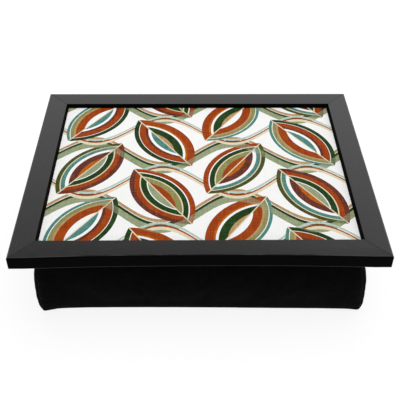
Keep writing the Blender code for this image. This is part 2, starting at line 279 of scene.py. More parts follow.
def light_path(finish):
    """The kinds of rays by name, as wires."""
    rays = finish.node("ShaderNodeLightPath").socket.node.outputs
    return {kind: Wire(finish, rays["Is " + kind + " Ray"]) for kind in RAY_KINDS}


def make_floor():
    """A wide white plane that keeps a soft shadow."""
    finish = Finish("studio_floor")
    rays = light_path(finish)
    seen = rays["Camera"].math("MAXIMUM", rays["Glossy"]).math("MAXIMUM", rays["Transmission"])
    glow = finish.node("ShaderNodeEmission", values={"Strength": seen * FLOOR_GLOW})
    colour = finish.grey(rays["Diffuse"] * FLOOR_BOUNCE + FLOOR_SHADE)
    matt = finish.node("ShaderNodeBsdfDiffuse", values={"Color": colour})
    both = finish.node("ShaderNodeAddShader", values={0: glow, 1: matt})
    bm = bmesh.new()
    bmesh.ops.create_grid(bm, x_segments=1, y_segments=1, size=FLOOR_REACH)
    floor = put_mesh("studio_floor", bm)
    floor.data.materials.append(finish.done(both))
    floor.location.z = -FLOOR_DROP
    floor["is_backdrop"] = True


def make_world():
    """White to the camera. Other rays see walls and a darker ceiling."""
    finish = Finish("studio_world", is_world=True)
    rays = light_path(finish)
    towards = finish.split(finish.point(out=0))
    ceiling = finish.smooth(towards[2], CEILING_START, CEILING_END)
    walls = 1 - ceiling * CEILING_DARK + towards[0] * WINDOW_SIDE
    walls = walls.math("MINIMUM", 1.0).math("MAXIMUM", 0.0)
    seen = rays["Camera"].math("MAXIMUM", rays["Transmission"])
    values = {"Color": (1.0, 1.0, 1.0), "Strength": seen + (1 - seen) * walls}
    bpy.context.scene.world = finish.done(finish.node("ShaderNodeBackground", values=values))


make_floor()
make_world()
bpy.context.scene.view_settings.view_transform = "Standard"
print("white floor and white world")

# %% [markdown]
# One wide softbox hangs above and a little behind the tray, so its top is lit evenly, and the
# front of the frame and the cushion stay dark. Its own image is kept off the paint, as a
# photographer does by turning it.

# %% Lamp
LAMP_WIDTH = 1.6
LAMP_HEIGHT = 1.5
LAMP_BEHIND = 0.35
LAMP_POWER = 14.0
lamp = put_in_scene("softbox", bpy.data.lights.new("softbox", "AREA"))
lamp.data.size = LAMP_WIDTH
lamp.data.energy = LAMP_POWER
lamp.visible_glossy = False
lamp.location = (0.0, LAMP_BEHIND, LAMP_HEIGHT)
lamp.rotation_euler = (-lamp.location).to_track_quat("-Z", "Y").to_euler()
print("softbox", LAMP_WIDTH, "m wide,", LAMP_HEIGHT, "m up")

# %% [markdown]
# ## From a bmesh to a finished piece
# Every new piece ends the same way: its mesh goes into an object at the origin, which rides on the
# tray's one body and takes its finish, and the imported nodes that it stands for are hidden.

# %% Finishing a piece
BODY = "root"


def add_piece(name, bm, material, replaced, sharp_angle=35.0):
    """Make the object, smooth but for its true edges, and tie it to the tray."""
    piece = put_mesh(name, bm)
    piece.data.shade_smooth()
    piece.data.set_sharp_from_angle(angle=math.radians(sharp_angle))
    piece.data.materials.append(material)
    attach(piece, BODY)
    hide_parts(*replaced)
    return piece


def repaint(node, material):
    """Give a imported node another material."""
    for slot in node.material_slots:
        slot.material = material
    if not node.material_slots:
        node.data.materials.append(material)


def evaluated_mesh(piece):
    """The piece's mesh with its modifiers applied."""
    bpy.context.view_layer.update()
    shaped = piece.evaluated_get(bpy.context.evaluated_depsgraph_get())
    return bpy.data.meshes.new_from_object(shaped)


def apply_modifiers(piece):
    """Keep the shape that the modifiers give, and drop them."""
    piece.data = evaluated_mesh(piece)
    piece.modifiers.clear()


def grow(bm, distance):
    """Move every vertex along its normal, by a function of it."""
    moves = [vert.normal * distance(vert) for vert in bm.verts]
    for vert, move in zip(bm.verts, moves):
        vert.co += move


print("pieces ride on", BODY)

# %% [markdown]
# ## The painted frame
# The moulding is wood under satin black paint. A rail could be a box with a lip cut into it, but
# it is made here as a joiner makes it: the section is pushed through the rail's length, the long
# edges are eased and both ends are sawn at 45 degrees. A hair of rounding on the sawn edges draws
# the mitres.

# %% Moulding and mitres
OUTER_EDGE, FOOT_EDGE = (0.0, 0.0), (0.0, -RAIL_HEIGHT)
LIP_EDGE, LIP_FOOT = (RAIL_TOP_WIDTH, 0.0), (RAIL_TOP_WIDTH + LIP_SLOPE_RUN, -LIP_DEPTH)
REBATE_TOP, REBATE_FOOT = (REBATE_INSET, -LIP_DEPTH), (REBATE_INSET, -RAIL_HEIGHT)
BOW_STEPS = 23


def only(kind, geometry):
    """The vertices or the edges among what an operator gives back."""
    return [item for item in geometry if isinstance(item, kind)]


def push_section(half_length):
    """A straight length of moulding, with its outer face at y = 0 and its top at z = 0."""
    section = (OUTER_EDGE, LIP_EDGE, LIP_FOOT, REBATE_TOP, REBATE_FOOT, FOOT_EDGE)
    bm = bmesh.new()
    end = bm.faces.new([bm.verts.new((-half_length, *corner)) for corner in section])
    grown = bmesh.ops.extrude_face_region(bm, geom=[end])["geom"]
    verts = only(bmesh.types.BMVert, grown)
    bmesh.ops.translate(bm, verts=verts, vec=(2 * half_length, 0.0, 0.0))
    long_edges = [edge for edge in bm.edges if edge.calc_length() > half_length]
    bmesh.ops.subdivide_edges(bm, edges=long_edges, cuts=BOW_STEPS)
    bmesh.ops.recalc_face_normals(bm, faces=bm.faces)
    return bm


def bevel(bm, edges, width, segments):
    bmesh.ops.bevel(
        bm, geom=edges, offset=width, segments=segments, profile=0.5, affect="EDGES", material=-1
    )


def ease_edges(bm, places, width, segments):
    """Round the long edges that lie at the given (inset, height) places."""
    chosen = []
    for edge in bm.edges:
        start, stop = (vert.co for vert in edge.verts)
        is_there = any((start.yz - Vector(place)).length < FINE_EDGE / 2 for place in places)
        if is_there and abs(start.x - stop.x) >= FINE_EDGE:
            chosen.append(edge)
    bevel(bm, chosen, width, segments)


def cut_away(bm, place, outwards):
    """Cut off what lies outside a plane, and give back the geometry along the cut."""
    everything = bm.verts[:] + bm.edges[:] + bm.faces[:]
    cut = bmesh.ops.bisect_plane(
        bm, geom=everything, plane_co=place, plane_no=outwards, clear_outer=True
    )
    return cut["geom_cut"]


def saw_mitres(bm, half_length):
    """Cut both ends at 45 degrees and ease the sawn edges."""
    sawn = []
    for end in (-1, 1):
        cut = cut_away(bm, (end * (half_length - MITRE_GAP / 2), 0.0, 0.0), (end, 1.0, 0.0))
        rim = only(bmesh.types.BMEdge, cut)
        bmesh.ops.contextual_create(bm, geom=rim)
        sawn += rim
    bmesh.ops.recalc_face_normals(bm, faces=bm.faces)
    bevel(bm, sawn, FINE_EDGE / 2, 1)


print("lip", mm(LIP_DEPTH), "mm deep, rebate", mm(REBATE_INSET), "mm in")

# %% [markdown]
# Before a rail goes to its place, each vertex notes its length, inset and height on the moulding,
# because grain and paint follow the rail and not the room. The front rail's outer face is planed
# hollow by a few millimetres, which the eye sees as a slight bow.

# %% Four rails
BOW_DEPTH = 0.0036
BOW_SPAN = 0.9
BOW_ROUNDNESS = 2.5
RAIL_OFFSET = 1.0
EASED = (
    ([OUTER_EDGE], EDGE_RADIUS, 6),
    ([FOOT_EDGE], EDGE_CHAMFER, 3),
    ([LIP_EDGE, LIP_FOOT, REBATE_FOOT], FINE_EDGE, 2),
)


def clamp(value):
    """The value, kept between 0 and 1."""
    return min(1.0, max(0.0, value))


def note_place(bm, number):
    """Write each vertex's place on the moulding into an attribute."""
    layer = bm.verts.layers.float_vector.new("moulding_place")
    for vert in bm.verts:
        vert[layer] = vert.co + Vector((number * RAIL_OFFSET, 0.0, 0.0))


def plane_hollow(bm, half_length):
    """Draw the outer face in towards its middle."""
    for vert in bm.verts:
        span = min(1.0, abs(vert.co.x) / half_length / BOW_SPAN)
        outer = clamp(1 - (vert.co.y - EDGE_RADIUS) / (REBATE_INSET - EDGE_RADIUS))
        vert.co.y += BOW_DEPTH * (1 - span**BOW_ROUNDNESS) * outer


def make_rail(number, side):
    """One finished rail in its place round the tray. The even ones are the long ones."""
    half_length, half_out = (HALF_DEPTH, HALF_WIDTH) if number % 2 else (HALF_WIDTH, HALF_DEPTH)
    bm = push_section(half_length)
    for places, width, segments in EASED:
        ease_edges(bm, places, width, segments)
    saw_mitres(bm, half_length)
    note_place(bm, number)
    if side == "front":
        plane_hollow(bm, half_length)
    turn = Matrix.Rotation(math.radians(90.0 * number), 4, "Z")
    place = turn @ Matrix.Translation((0.0, -half_out, FRAME_TOP))
    bmesh.ops.transform(bm, matrix=place, verts=bm.verts)
    return add_piece(side + "_moulding", bm, paint, [side + "_rail"])


print("front rail hollowed by", mm(BOW_DEPTH), "mm")

# %% [markdown]
# The paint mixes two surfaces: satin on the top, which mirrors the studio as a dark grey, and matt
# on the upright faces and the lip, which also get a far darker colour than the top as painted
# shade. The noted inset and height tell them apart. Streaks run along the rail, and a fine lighter
# line is painted along the outer edge as a painted highlight, broken up by noise and stronger near
# the ends. The short rails and the right end of the front rail are painted paler: a painted
# reflection of the studio.

# %% Black paint
GRAIN_LENGTH, GRAIN_WIDTH = 60.0, 700.0
SPOT_SCALE, CLOUD_SCALE, HIGHLIGHT_BREAKUP_SCALE = 420.0, 11.0, 26.0
PAINT_RELIEF = 0.00007
EDGE_HIGHLIGHT_INSET, EDGE_HIGHLIGHT_WIDTH, EDGE_HIGHLIGHT_END_REACH = 0.0012, 0.0008, 0.04
SHEEN_PATCH_LENGTH, SHEEN_PATCH_INSET = (0.02, 0.19), (0.006, 0.017)
SHEEN_PATCH_SHARE = 0.6
PAINTED_SHEEN_MIX = 0.30
FOOT_SHINE = 0.6


def paint_finish():
    """Satin black paint that follows each rail."""
    finish = Finish("satin_black_paint")
    place = finish.node("ShaderNodeAttribute", {"attribute_name": "moulding_place"}, out=1)
    length, inset, height = finish.split(place)
    outer = finish.smooth(inset, EDGE_RADIUS * 0.20, EDGE_RADIUS * 0.55)
    inner = finish.smooth(inset, RAIL_TOP_WIDTH - FINE_EDGE, RAIL_TOP_WIDTH)
    lower = finish.smooth(height, -RAIL_HEIGHT + EDGE_CHAMFER * 0.8, -RAIL_HEIGHT + EDGE_CHAMFER)
    top = outer * (1 - inner) * lower + (1 - lower) * FOOT_SHINE
    streak = finish.vector(length * GRAIN_LENGTH, inset * GRAIN_WIDTH, height * GRAIN_WIDTH)
    grain = finish.noise(streak, 1.0, detail=3.0)
    spots = finish.noise(place, SPOT_SCALE, detail=4.0, roughness=0.65)
    cloud = finish.noise(place, CLOUD_SCALE)
    level = grain * 0.60 + spots * 0.15 + cloud * 0.25
    # Painted highlight: a fine lighter line along the outer edge, broken up by noise and stronger near
    # the ends.
    highlight_breakup = finish.noise(place, HIGHLIGHT_BREAKUP_SCALE, detail=3.0)
    highlight_line = 1 - (abs(inset - EDGE_HIGHLIGHT_INSET) / EDGE_HIGHLIGHT_WIDTH).math("MINIMUM", 1.0)
    number = (length / RAIL_OFFSET + 0.5).math("FLOOR")
    here = length - number * RAIL_OFFSET
    # Painted reflection: the short rails and the front rail's right end are made paler.
    sheen_patch = finish.smooth(here, *SHEEN_PATCH_LENGTH) * finish.smooth(inset, *SHEEN_PATCH_INSET)
    is_front, is_short = number.math("LESS_THAN", 0.5), number.math("FLOORED_MODULO", 2.0)
    painted_sheen = is_short + is_front * sheen_patch * SHEEN_PATCH_SHARE
    near_end = finish.smooth(abs(here), HALF_DEPTH - EDGE_HIGHLIGHT_END_REACH, HALF_DEPTH)
    edge_highlight = highlight_line * finish.smooth(highlight_breakup + near_end * 0.3, 0.46, 0.66) * lower
    top_colour = finish.blend(finish.smooth(level, 0.3, 0.7), shade(13, 13, 13), shade(26, 26, 27))
    # The painted reflection lightens the top colour here.
    top_colour = finish.blend(painted_sheen * PAINTED_SHEEN_MIX, top_colour, shade(52, 52, 52))
    # The painted highlight line is laid on the top colour here.
    top_colour = finish.blend(edge_highlight, top_colour, shade(66, 66, 66))
    # The foot's chamfer gets a lighter grey than the upright faces: partly a painted highlight along
    # the lower edge.
    top_colour = finish.blend(lower, shade(24, 24, 24), top_colour)
    # Painted shade: the upright faces and the lip get a far darker colour than the top.
    shaded_side_colour = finish.blend(level, shade(1, 1, 1), shade(5, 5, 5))
    height = grain * 0.55 + spots * 0.45
    shine = 0.17 + level * 0.14 + painted_sheen * 0.04
    satin = finish.surface(top_colour, shine, height, PAINT_RELIEF, IOR=1.60)
    dull = 0.5 + level * 0.2
    matt = finish.surface(shaded_side_colour, dull, height, PAINT_RELIEF, Specular_IOR_Level=0.02)
    return finish.done(finish.node("ShaderNodeMixShader", values={0: top, 1: matt, 2: satin}))


paint = paint_finish()
rails = [make_rail(number, side) for number, side in enumerate(SIDES)]
print("moulding:", [len(rail.data.polygons) for rail in rails], "faces")

# %% [markdown]
# The steel nails and points bite into the wood, so a Boolean takes a slightly fatter copy of each
# one away from the rail. Smooth shading would then bend the light over the whole flat top.
# Weighted normals let each flat face keep its own direction.

# %% Slots for nails and points
SLOT_EASE = 0.00016
SLOT_DEPTH = 0.002


def fatter_copy(node):
    """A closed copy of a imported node, grown along its normals."""
    bm = bmesh.new()
    bm.from_mesh(node.data)
    bmesh.ops.remove_doubles(bm, verts=bm.verts, dist=SLOT_EASE / 10)
    bm.normal_update()
    grow(bm, lambda vert: SLOT_EASE * math.sqrt(3))
    if node.name.startswith("v_nail"):
        foot = min(vert.co.z for vert in bm.verts)
        for vert in bm.verts:
            if vert.co.z < foot + SLOT_EASE:
                vert.co.z -= SLOT_DEPTH
    return put_mesh(node.name + "_slot", bm)


def cut_slots(rail, side):
    """Take the slots out of one rail."""
    names = [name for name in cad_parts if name.startswith(side + "_point")]
    names += [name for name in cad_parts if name.startswith("v_nail") and side in name]
    cutters = [fatter_copy(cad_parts[name]) for name in names]
    for cutter in cutters:
        boolean = rail.modifiers.new(cutter.name, "BOOLEAN")
        boolean.operation = "DIFFERENCE"
        boolean.object = cutter
    apply_modifiers(rail)
    for cutter in cutters:
        bpy.data.objects.remove(cutter, do_unlink=True)
    flat = rail.modifiers.new("flat_faces", "WEIGHTED_NORMAL")
    flat.weight = 100
    flat.keep_sharp = True
    return len(names)


for rail, side in zip(rails, SIDES):
    print(side, "rail has", cut_slots(rail, side), "slots")

# %% [markdown]
# ## The printed linen
# The board is covered with printed linen: big leaves that lean left and right by turns, in bands
# of ink, with ribbons winding between them. It could be painted as a picture, but bands of
# distance stay sharp at any size, so the material works them out from X and Y.

# %% Colours of the print
INKS = {
    "white": shade(250, 250, 249),
    "cream": shade(228, 216, 186),
    "tan": shade(184, 148, 104),
    "rust": shade(158, 64, 10),
    "orange": shade(184, 96, 8),
    "maroon": shade(104, 50, 38),
    "green": shade(32, 62, 20),
    "moss": shade(74, 78, 30),
    "olive": shade(142, 140, 84),
    "sage": shade(150, 160, 124),
    "teal": shade(80, 134, 126),
    "mint": shade(186, 206, 192),
}
COLUMN_PITCH = 0.0948
ROW_PITCH = 0.1135
LEAF_HALF_WIDTH = 0.0335
LEAF_HALF_LENGTH = 0.0660
LEAF_RADIUS = (LEAF_HALF_WIDTH**2 + LEAF_HALF_LENGTH**2) / (2 * LEAF_HALF_WIDTH)
LEAF_LEAN = math.radians(35.0)
MIDRIB_HALF_WIDTH = 0.0008
LEAF_BANDS = (
    ("rust", 0.20, "white", 0.25, "green", 0.44, "cream", 0.49, "olive", 0.72, "rust"),
    ("green", 0.18, "white", 0.21, "rust", 0.47, "maroon", 0.58, "white", 0.70, "teal"),
    ("moss", 0.16, "cream", 0.20, "teal", 0.36, "white", 0.50, "maroon", 0.78, "orange"),
    ("rust", 0.30, "orange", 0.38, "white", 0.48, "green", 0.80, "tan"),
    ("maroon", 0.18, "rust", 0.38, "cream", 0.43, "green", 0.66, "white", 0.70, "sage"),
    ("teal", 0.12, "white", 0.15, "olive", 0.30, "tan", 0.38, "rust", 0.72, "white"),
)
print(len(INKS), "inks,", len(LEAF_BANDS), "leaves")

# %% [markdown]
# A leaf is where two discs overlap. How deep a point lies inside both runs from 0 on the leaf's
# edge to 1 on its midrib, and a colour ramp with hard steps turns it into bands. Each leaf has one
# ramp for either side of its midrib, chosen by column and row.

# %% Leaves in staggered columns
def band_ramp(finish, depth, bands):
    """Flat bands of ink, from the leaf's edge to its middle."""
    stops = [(0.0, bands[0]), *zip(bands[1::2], bands[2::2])]
    colour = finish.node("ShaderNodeValToRGB", values={"Fac": depth})
    ramp = colour.socket.node.color_ramp
    while len(ramp.elements) < len(stops):
        ramp.elements.new(1.0)
    for element, (place, ink) in zip(ramp.elements, stops):
        element.position = place
        element.color = (*INKS[ink], 1.0)
    ramp.interpolation = "CONSTANT"
    return colour


def pick_leaf(finish, depth, choice):
    """The bands of the leaf whose number is nearest to choice."""
    colour = band_ramp(finish, depth, LEAF_BANDS[0])
    for number, bands in enumerate(LEAF_BANDS[1:], start=1):
        past = choice.math("GREATER_THAN", number - 0.5)
        colour = finish.blend(past, colour, band_ramp(finish, depth, bands))
    return colour


def inside(value, low, high):
    """1 where a value lies between two limits."""
    return value.math("GREATER_THAN", low) * value.math("LESS_THAN", high)


def leaves(finish, x, y):
    """The leaves' depth, from 0 to 1 inside them, and their colour."""
    column = (x / COLUMN_PITCH).math("FLOOR")
    odd = column.math("FLOORED_MODULO", 2.0)
    drop = odd * (ROW_PITCH / 2)
    row = ((y + drop) / ROW_PITCH + 0.5).math("FLOOR")
    u = x - (column + 0.5) * COLUMN_PITCH
    v = y + drop - row * ROW_PITCH
    lean = (1 - odd * 2) * math.sin(LEAF_LEAN)
    across = u * math.cos(LEAF_LEAN) - v * lean
    along = v * math.cos(LEAF_LEAN) + u * lean
    reach = abs(across) + (LEAF_RADIUS - LEAF_HALF_WIDTH)
    away = (reach * reach + along * along).math("POWER", 0.5)
    depth = (LEAF_RADIUS - away) / LEAF_HALF_WIDTH
    choice = (column * 2.0 + row * 3.0).math("FLOORED_MODULO", len(LEAF_BANDS))
    partner = (choice + 2.0).math("FLOORED_MODULO", len(LEAF_BANDS))
    left_blade, right_blade = (pick_leaf(finish, depth, leaf) for leaf in (choice, partner))
    blades = finish.blend(across.math("GREATER_THAN", 0.0), left_blade, right_blade)
    midrib = abs(across).math("LESS_THAN", MIDRIB_HALF_WIDTH)
    return depth, finish.blend(midrib, blades, INKS["cream"])

# %% [markdown]
# The ribbons are waves that climb over one leaf and dip under the next. Pale and dark bands follow
# the climbing wave, and thin lines the one that runs the other way. Where the broad band crosses a
# leaf its ink is thin, and both colours show.

# %% Ribbons
RIBBON_WIDTH = 0.0125
LINE_WIDTH = 0.0014
CLIMBING = (
    (-RIBBON_WIDTH, 0.0, "sage"),
    (0.0, RIBBON_WIDTH * 0.4, "green"),
    (RIBBON_WIDTH * 0.5, RIBBON_WIDTH * 0.95, "tan"),
)
FALLING = (
    (-RIBBON_WIDTH * 0.55, -LINE_WIDTH, "cream"),
    (-LINE_WIDTH, LINE_WIDTH, "rust"),
    (LINE_WIDTH * 2, LINE_WIDTH * 5, "mint"),
)
THIN_INK = 0.45


def wave_distance(x, y, direction):
    """The distance up or down to the nearest wave of one direction."""
    swing = ((x / COLUMN_PITCH - 0.5) * math.pi).math("COSINE") * (direction * ROW_PITCH / 4)
    rows = (y - swing) / ROW_PITCH - direction * 0.25
    return (rows - (rows + 0.5).math("FLOOR")) * ROW_PITCH


def ribbons(finish, climb, fall):
    """White linen with the winding ribbon and the thin lines on it."""
    colour = INKS["white"]
    for wave, bands in ((climb, CLIMBING), (fall, FALLING)):
        for low, high, ink in bands:
            colour = finish.blend(inside(wave, low, high), colour, INKS[ink])
    return colour


print(len(CLIMBING) + len(FALLING), "bands and lines")

# %% [markdown]
# The linen is a plain weave: in every little square one thread lies on top, along or across, and
# its roundness falls off to the sides. Ink lies thinner on the thicker threads, so fine lines
# cross the colours. A power does that: it changes the inks and leaves the white as it is.

# %% Weave and the whole print
THREAD_PITCH = 0.00105
THREAD_RELIEF = 0.00011
WOBBLE_SCALE = 90.0
CROSSED_HEIGHT = 0.55
THICK_THREAD, THREAD_RUN = 520.0, 40.0
UNEVEN_INK = 1.3


def plain_weave(finish, x, y, pitch):
    """Height of a plain weave, from 0 in the gaps to 1 on the crowns."""
    wobble = finish.noise(finish.vector(x, y, 0.0), WOBBLE_SCALE) * (pitch * 0.5)
    across, along = (x + wobble) / pitch, (y + wobble) / pitch
    column, row = across.math("FLOOR"), along.math("FLOOR")
    swap = (column + row).math("FLOORED_MODULO", 2.0)
    crown_x = ((across - column - 0.5) * math.pi).math("COSINE")
    crown_y = ((along - row - 0.5) * math.pi).math("COSINE")
    warp = crown_x * (crown_y * (1 - CROSSED_HEIGHT) + CROSSED_HEIGHT)
    weft = crown_y * (crown_x * (1 - CROSSED_HEIGHT) + CROSSED_HEIGHT)
    return warp * (1 - swap) + weft * swap


def print_finish():
    """Printed linen with leaves and ribbons."""
    finish = Finish("printed_linen")
    x, y, _ = finish.split(finish.point())
    climb, fall = wave_distance(x, y, 1), wave_distance(x, y, -1)
    depth, leaf = leaves(finish, x, y)
    on_leaf = depth.math("GREATER_THAN", 0.0)
    colour = finish.blend(on_leaf, ribbons(finish, climb, fall), leaf)
    crossing = inside(climb, -RIBBON_WIDTH, 0.0) * on_leaf * THIN_INK
    colour = finish.blend(crossing, colour, INKS["sage"])
    weave = plain_weave(finish, x, y, THREAD_PITCH)
    upright = finish.noise(finish.vector(x * THICK_THREAD, y * THREAD_RUN, 0.0), 1.0)
    level = finish.noise(finish.vector(x * THREAD_RUN, y * THICK_THREAD, 0.0), 1.0)
    slub = upright * 0.5 + level * 0.5
    ink_density = 1 - (slub - 0.5) * UNEVEN_INK
    colour = finish.node("ShaderNodeGamma", values={"Color": colour, "Gamma": ink_density})
    # Painted shade and highlight of the weave: darker in the gaps between threads, lighter on the
    # crowns; it also follows the threads' thickness.
    weave_shade_tint = finish.grey(0.895 + weave * 0.07 + slub * 0.08)
    colour = finish.blend(1.0, colour, weave_shade_tint, mode="MULTIPLY")
    height = weave * 0.8 + slub * 0.4
    return finish.done(finish.surface(
        colour, 0.52 + slub * 0.16, height, THREAD_RELIEF, Specular_IOR_Level=0.08
    ))


repaint(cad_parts["print_sheet"], print_finish())
print("print of", mm(2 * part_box("print_sheet")[1].x), "mm of linen")

# %% [markdown]
# ## The cushion
# The cushion is a black cloth cover full of loose beads, sewn from four walls and a base. It could
# be modelled from a rounded box alone, but cloth that is pushed out from inside finds its soft,
# uneven shape by itself. So a slightly slack form is made first, and Blender's Cloth then blows it
# up. It leans a little to the right, as a bag does that was set down by hand.

# %% Measures of the cushion
COVER_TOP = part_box("front_cushion_panel")[1].z
TOUCH_GAP = 0.0003
CLOTH_THICKNESS = 0.0010
HEM_WIDTH = 0.020
NECK = Vector((HALF_WIDTH, HALF_DEPTH)) - Vector((1.0, 1.0)) * (REBATE_INSET + TOUCH_GAP)
BASE_INSET = (0.0220, 0.0190)
BASE = Vector((HALF_WIDTH - BASE_INSET[0], HALF_DEPTH - BASE_INSET[1]))
BASE_SHIFT = 0.0026
BULGE = Vector((0.0090, 0.0075))
BULGE_SHIFT = 0.0006
SWELL_SKEW, SWELL_FLATNESS = 2.12, 3.2
NECK_RADIUS, BASE_RADIUS, SWELL_RADIUS = 0.005, 0.002, 0.018
DRAW_LEFT, DRAW_RIGHT, DRAW_SIDES = 0.0069, 0.0023, 0.0026
DRAW_BLEND = Vector((-0.6, 1.8))
DRAW_FLATNESS = 10
SLACK = 0.0014
SLACK_FLATNESS = 3


def soft_step(value):
    """0 below 0, 1 above 1 and a smooth climb between."""
    value = clamp(value)
    return value * value * (3 - 2 * value)


def swell_at(share):
    """How far the wall is blown out, from 0 to 1, at a share of the way down."""
    return 1 - abs(2 * clamp(share) ** SWELL_SKEW - 1) ** SWELL_FLATNESS


def lean_at(share):
    """How far the cushion leans to the right at a share of the way down."""
    return BASE_SHIFT * share - BULGE_SHIFT * swell_at(share)


def cushion_point(across, along, share, slack=0.0):
    """A point of the cushion, from its place in a box from -1 to 1."""
    swell = swell_at(share)
    half = NECK.lerp(BASE, share) + BULGE * swell
    radius = NECK_RADIUS + (BASE_RADIUS - NECK_RADIUS) * share + SWELL_RADIUS * swell
    x, y = across * half.x, along * half.y
    past = Vector((abs(x) - half.x + radius, abs(y) - half.y + radius))
    if past.x > 0 and past.y > 0:
        past *= max(past) / past.length
        x = math.copysign(half.x - radius + past.x, x)
        y = math.copysign(half.y - radius + past.y, y)
    to_right = soft_step((across - DRAW_BLEND[0]) / DRAW_BLEND[1])
    draw = DRAW_LEFT + (DRAW_RIGHT - DRAW_LEFT) * to_right
    on_side, on_front = min(1.0, abs(y / half.y)), min(1.0, abs(x / half.x))
    x -= across * DRAW_SIDES * share**3 * (1 - on_side**DRAW_FLATNESS)
    y -= along * draw * share**3 * (1 - on_front**DRAW_FLATNESS)
    x -= across * slack * swell * (1 - on_side**SLACK_FLATNESS)
    y -= along * slack * swell * (1 - on_front**SLACK_FLATNESS)
    return Vector((x + lean_at(share), y, FRAME_UNDER * (1 - share)))


for name, half in (("neck", NECK), ("base", BASE)):
    print(name, [mm(2 * side) for side in half], "mm")

# %% [markdown]
# The slack form starts as a cube that is cut into a fine grid. Each vertex then moves to its place
# on the cushion. The form goes on a little above the neck, where it is cut off later, because the
# remesh would round an edge there. The same sum gives the line of each corner seam.

# %% Slack form and corner seams
FORM_CUTS = 47
FORM_RISE = 0.006
SEAM_STEPS = 48
SEAM_ZONE = Vector((0.115, 0.070))
FAR_AWAY = 1.0


def slack_form(slack):
    """The cushion before it is blown up."""
    bm = bmesh.new()
    bmesh.ops.create_cube(bm, size=2.0)
    bmesh.ops.subdivide_edges(bm, edges=bm.edges, cuts=FORM_CUTS, use_grid_fill=True)
    for vert in bm.verts:
        height = (1 + vert.co.z) / 2 * (FRAME_UNDER + FORM_RISE)
        vert.co = cushion_point(vert.co.x, vert.co.y, 1 - height / FRAME_UNDER, slack)
    bmesh.ops.recalc_face_normals(bm, faces=bm.faces)
    return bm


CORNERS = [(x_side, y_side) for x_side in (-1, 1) for y_side in (-1, 1)]
SEAM_SHARES = [step / SEAM_STEPS for step in range(SEAM_STEPS + 1)]
CORNER_SEAMS = {
    corner: [cushion_point(*corner, share) for share in SEAM_SHARES] for corner in CORNERS
}


def seam_place(point):
    """Distance from the nearest corner seam, and how far down it the nearest spot lies."""
    if abs(point.x) < SEAM_ZONE.x or abs(point.y) < SEAM_ZONE.y:
        return FAR_AWAY, 0.0
    corner = (1 if point.x > 0 else -1, 1 if point.y > 0 else -1)
    spots = enumerate(CORNER_SEAMS[corner])
    away, step = min(((point - spot).length, step) for step, spot in spots)
    return away, step * FRAME_UNDER / SEAM_STEPS


print(len(CORNER_SEAMS), "corner seams in", SEAM_STEPS, "steps each")

# %% [markdown]
# A voxel remesh gives the cloth even faces. The neck, the base and the corner seams are pinned,
# because the board, the table and the doubled cloth hold them. The cloth may grow a little, as the
# ease in a sewn panel lets it, and pressure does the rest. A cap on each move keeps the measured
# size.

# %% Blow up the cushion
VOXEL = 0.0055
FRAMES = 20
MOVE_CAP = 0.010
PIN_REACH = 0.010
PIN_STRENGTH = 1.3
BASE_HOLD = VOXEL * 0.8
CLOTH = {
    "quality": 6,
    "mass": 0.10,
    "shrink_min": -0.012,
    "tension_stiffness": 12.0,
    "compression_stiffness": 12.0,
    "shear_stiffness": 6.0,
    "bending_stiffness": 0.6,
    "use_pressure": True,
    "uniform_pressure_force": 14.0,
    "vertex_group_mass": "pins",
}


def pin_weight(point):
    """1 where the cloth is held and 0 where it is free."""
    if point.z < BASE_HOLD:
        return 1.0
    nearest = min(seam_place(point)[0], FRAME_UNDER - point.z, point.z)
    return min(1.0, PIN_STRENGTH * max(0.0, 1 - nearest / PIN_REACH))


def remeshed_form(slack):
    """The slack form with even faces, as an object in the scene."""
    form = put_mesh("cushion_form", slack_form(slack))
    remesh = form.modifiers.new("remesh", "REMESH")
    remesh.mode = "VOXEL"
    remesh.voxel_size = VOXEL
    apply_modifiers(form)
    return form


def add_cloth(form):
    """Pins and cloth for the form."""
    pins = form.vertex_groups.new(name="pins")
    for vert in form.data.vertices:
        pins.add([vert.index], pin_weight(vert.co), "REPLACE")
    cloth = form.modifiers.new("cloth", "CLOTH")
    for name, value in CLOTH.items():
        setattr(cloth.settings, name, value)
    cloth.settings.effector_weights.gravity = 0.0
    cloth.point_cache.frame_end = FRAMES


def blow_up(form):
    """Run the cloth and take over its shape, with every move capped."""
    add_cloth(form)
    for number in range(1, FRAMES + 1):
        bpy.context.scene.frame_set(number)
    blown = evaluated_mesh(form)
    form.modifiers.clear()
    bpy.context.scene.frame_set(1)
    moved = []
    for vert, after in zip(form.data.vertices, blown.vertices):
        move = after.co - vert.co
        if move.length > MOVE_CAP:
            move *= MOVE_CAP / move.length
        vert.co += move
        moved.append(move.length)
    bpy.data.meshes.remove(blown)
    return max(moved)


cushion_form = remeshed_form(SLACK)
print("form:", len(cushion_form.data.vertices), "points")
print("moved by up to", mm(blow_up(cushion_form)), "mm")

# %% [markdown]
# The remesh has rounded the neck, the base's rim and the corners a little. Staples and thread hold
# the real cloth there, so the points near them are put back on the measured outline.

# %% Back to the measured edges
RIM_HOLD, CORNER_HOLD = 0.004, 0.012
FORM_REACH = (0.026, 0.080)
COVER_REACH = (0.008, 0.024)
RIM_START = 0.90
FLAT_NORMAL, FLAT_BLEND = 0.95, 0.35


def held(away, hold, reach):
    """1 up to a first distance, falling to 0 at a second."""
    return soft_step((reach - away) / (reach - hold))


def outline_spot(point):
    """The spot on the measured outline that lies straight outwards from a point."""
    share = 1 - point.z / FRAME_UNDER
    half = NECK.lerp(BASE, share) + BULGE * swell_at(share)
    across, along = (point.x - lean_at(share)) / half.x, point.y / half.y
    scale = max(abs(across), abs(along))
    return cushion_point(across / scale, along / scale, share), scale


